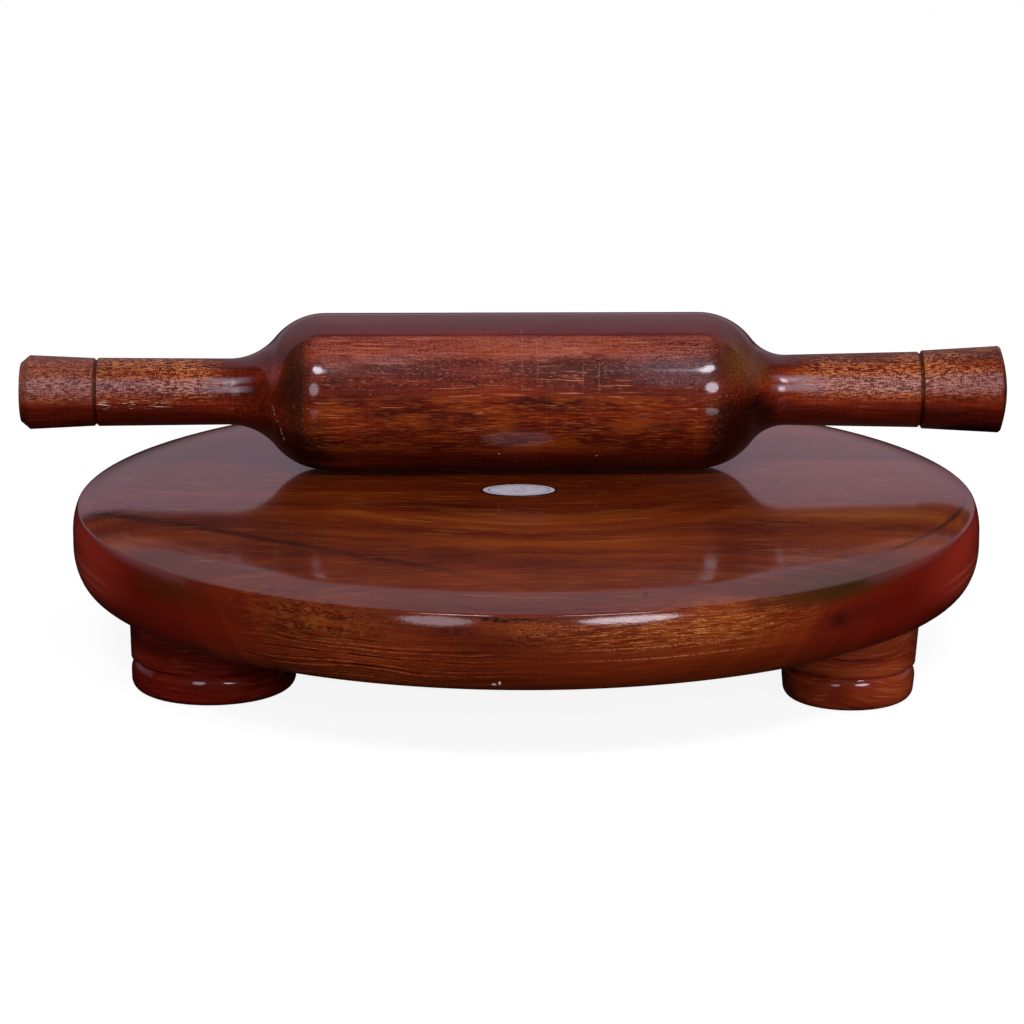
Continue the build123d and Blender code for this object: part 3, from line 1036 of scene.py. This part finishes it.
pin_low, pin_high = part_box("rolling_pin")
pin_centre = PIN_PLACE + Vector((0, 0, (pin_low.z + pin_high.z) / 2))
lathe_to_pin = Matrix(((0, 0, 1), (0, 1, 0), (-1, 0, 0))).to_4x4()
pin_mesh = lathe("rolling_pin_turned", pin_outline(), segments=240)
pin_mesh.transform(Matrix.Rotation(radians(PIN_YAW), 4, "Z") @ lathe_to_pin)
pin = turned_piece("rolling_pin_turned", "rolling_pin", pin_mesh, Matrix.Translation(pin_centre))
dress(pin, pin_sheesham())

# Label and screws keep their frame shapes
steel = zinc_plated_steel()
for node in FOOT_NAMES:
    dress(frame["nodes"][node.replace("foot_", "foot_screw_", 1)], steel)
dress(frame["nodes"]["label_plate"], label_foil())

# Studio. The sweep's tones go by the height, from 0 at the horizon to 1 overhead.


SWEEP_TONES = [
    (0.0, "#2e262c"),
    (0.19, "#a08d9c"),
    (0.27, "#a08d9c"),
    (0.36, "#857a85"),
    (0.6, "#a39ba6"),
    (0.9, "#acabc6"),
]


def studio_world():
    """The camera sees white behind the object; the varnish sees a pale sweep, and a dark room in front."""
    world = bpy.data.worlds.new("studio")
    bpy.context.scene.world = world
    world.use_nodes = True
    tree = world.node_tree
    tree.nodes.clear()
    way = add(tree, "TexCoord", out="Generated")
    height = add(tree, "SeparateXYZ", out="Z", vector=way)
    sweep_edge = radians(104)
    towards_sweep = (0, sin(sweep_edge), cos(sweep_edge))
    behind = add(tree, "VectorMath", {"operation": "DOT_PRODUCT"}, out="Value", i0=way, i1=towards_sweep)
    covered = where(tree, (behind, -0.01, 0.02), (height, -0.04, 0.04))
    sweep = add(tree, "ValToRGB", {"stops": SWEEP_TONES}, fac=height)
    dark_room = colour("#0a0a0b")
    mirrored = add(tree, "Mix", {"data_type": "RGBA"}, out=2, factor=covered, i6=dark_room, i7=sweep)
    seen_by = add(tree, "LightPath").node.outputs
    glossy_or_clear = add(
        tree,
        "Math",
        {"operation": "MAXIMUM"},
        i0=seen_by["Is Glossy Ray"],
        i1=seen_by["Is Transmission Ray"],
    )
    overhead = add(tree, "MapRange", value=height, from_min=0, from_max=1, to_min=0.15, to_max=0.45)
    soft_light = add(tree, "CombineColor", red=overhead, green=overhead, blue=overhead)
    lit = add(tree, "Mix", {"data_type": "RGBA"}, out=2, factor=glossy_or_clear, i6=soft_light, i7=mirrored)
    white = (1, 1, 1, 1)
    seen = add(tree, "Mix", {"data_type": "RGBA"}, out=2, factor=seen_by["Is Camera Ray"], i6=lit, i7=white)
    add(tree, "OutputWorld", surface=add(tree, "Background", color=seen, strength=1.0))


LAMP_DISTANCE = 1.0
# Azimuth and elevation in degrees, width and height in metres, radiance
LAMPS = {
    "softbox_left_high": (-21.7, 47, 0.3, 0.17, 18.0),
    "softbox_left_low": (-23.0, 17, 0.31, 0.34, 3.8),
    "softbox_right_high": (26.6, 47, 0.4, 0.17, 18.0),
    "softbox_right_low": (26.6, 18, 0.42, 0.26, 11.0),
}


def softbox(name, azimuth, elevation, width, height, radiance):
    """An oval lamp at that direction from the front of the board, facing it."""
    data = bpy.data.lights.new(name, "AREA")
    data.shape = "ELLIPSE"
    data.color = colour("#f4f1ff")[:3]
    data.size, data.size_y = width, height
    data.energy = radiance * pi * width * height * pi / 4
    lamp = bpy.data.objects.new(name, data)
    bpy.context.scene.collection.objects.link(lamp)
    a, e = radians(azimuth), radians(elevation)
    way = Vector((sin(a) * cos(e), -cos(a) * cos(e), sin(e)))
    aim = Vector((0, -0.1, BOARD_TOP))
    lamp.location = aim + way * LAMP_DISTANCE
    lamp.rotation_mode = "QUATERNION"
    lamp.rotation_quaternion = way.to_track_quat("Z", "Y")


def studio_floor():
    """A white paper floor that keeps the object's shadow, and shows nothing from underneath."""
    half = 12.0
    mesh = bpy.data.meshes.new("floor")
    corners = [(-half, -half, 0), (half, -half, 0), (half, half, 0), (-half, half, 0)]
    mesh.from_pydata(corners, [], [(0, 1, 2, 3)])
    floor = bpy.data.objects.new("floor", mesh)
    bpy.context.scene.collection.objects.link(floor)
    floor.location.z = -0.1 * MM
    made, tree = new_material("white paper sweep")

    # The camera sees a glow with the shadow on it, and the object gets a soft return from below
    seen_by = add(tree, "LightPath").node.outputs
    shaded = add(tree, "BsdfDiffuse", color=(0.26, 0.26, 0.26, 1))
    glow = add(tree, "Emission", color=(1, 1, 1, 1), strength=0.895)
    seen = add(tree, "AddShader", i0=shaded, i1=glow)
    paper = add(tree, "BsdfDiffuse", color=(0.22, 0.22, 0.22, 1))
    top = add(tree, "MixShader", fac=seen_by["Is Camera Ray"], i1=paper, i2=seen)
    clear = add(tree, "BsdfTransparent")
    surface = add(tree, "MixShader", fac=add(tree, "NewGeometry", out="Backfacing"), i1=top, i2=clear)
    add(tree, "OutputMaterial", surface=surface)
    floor.data.materials.append(made)
    floor.visible_glossy = False


def photograph_camera():
    """The picture's view: 13.8 degrees down, from nine board radii away."""
    elevation, distance = radians(13.8), 9 * BOARD_RADIUS
    focal_px, picture_px, sensor = 4064, 1024, 36.0
    centre_px = (526.2, 488.0)
    data = bpy.data.cameras.new("camera")
    data.sensor_width = sensor
    data.lens = sensor * focal_px / picture_px
    data.shift_x = (picture_px / 2 - centre_px[0]) / picture_px
    data.shift_y = (centre_px[1] - picture_px / 2) / picture_px
    camera = bpy.data.objects.new("camera", data)
    bpy.context.scene.collection.objects.link(camera)
    camera.location = (0, -distance * cos(elevation), BOARD_TOP + distance * sin(elevation))
    camera.rotation_euler = (pi / 2 - elevation, 0, 0)
    bpy.context.scene.camera = camera


studio_world()
for name, lamp in LAMPS.items():
    softbox(name, *lamp)
studio_floor()
photograph_camera()
bpy.context.scene.view_settings.view_transform = "Standard"
